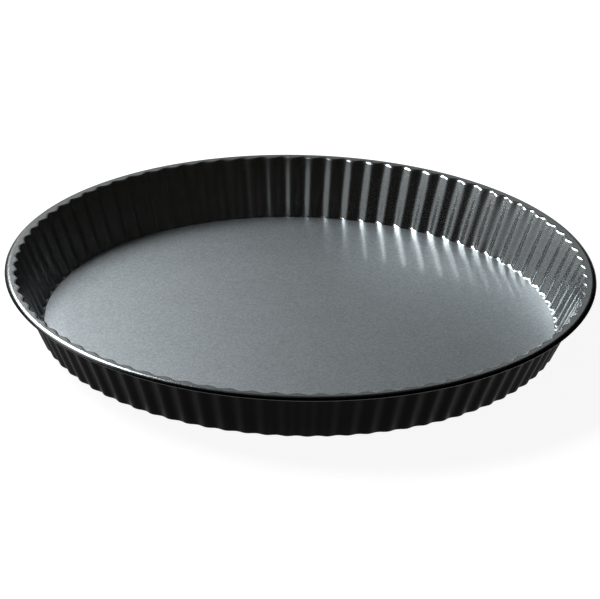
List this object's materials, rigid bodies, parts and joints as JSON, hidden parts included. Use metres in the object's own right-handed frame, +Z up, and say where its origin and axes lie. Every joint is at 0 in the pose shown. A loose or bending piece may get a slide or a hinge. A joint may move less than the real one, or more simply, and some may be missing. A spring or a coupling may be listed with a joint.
{
  "type": "pie pan",
  "caption": "Round shallow baking pan with a flaring fluted wall, a flat hemmed rim and a loose flat base that lifts out for quiches and tarts.",
  "frame": {"origin": "centre of the underside, on the surface the pan stands on", "axes": "+Z up along the pan's round axis; +X and +Y lie across the pan and are equivalent"},
  "size_m": [0.3, 0.3, 0.03],
  "materials": {
    "ring_coating": "satin dark grey non-stick coating on sheet steel",
    "base_coating": "satin dark grey non-stick coating on sheet steel, with a fine metallic speckle"
  },
  "bodies": {
    "ring": {"fluted_ring": "ring_coating"},
    "base": {"loose_base": "base_coating"}
  },
  "joints": [
    {"name": "base_lift", "type": "slide", "parent": "ring", "child": "base", "axis": [0, 0, 1], "range_m": [0, 0.06]}
  ]
}
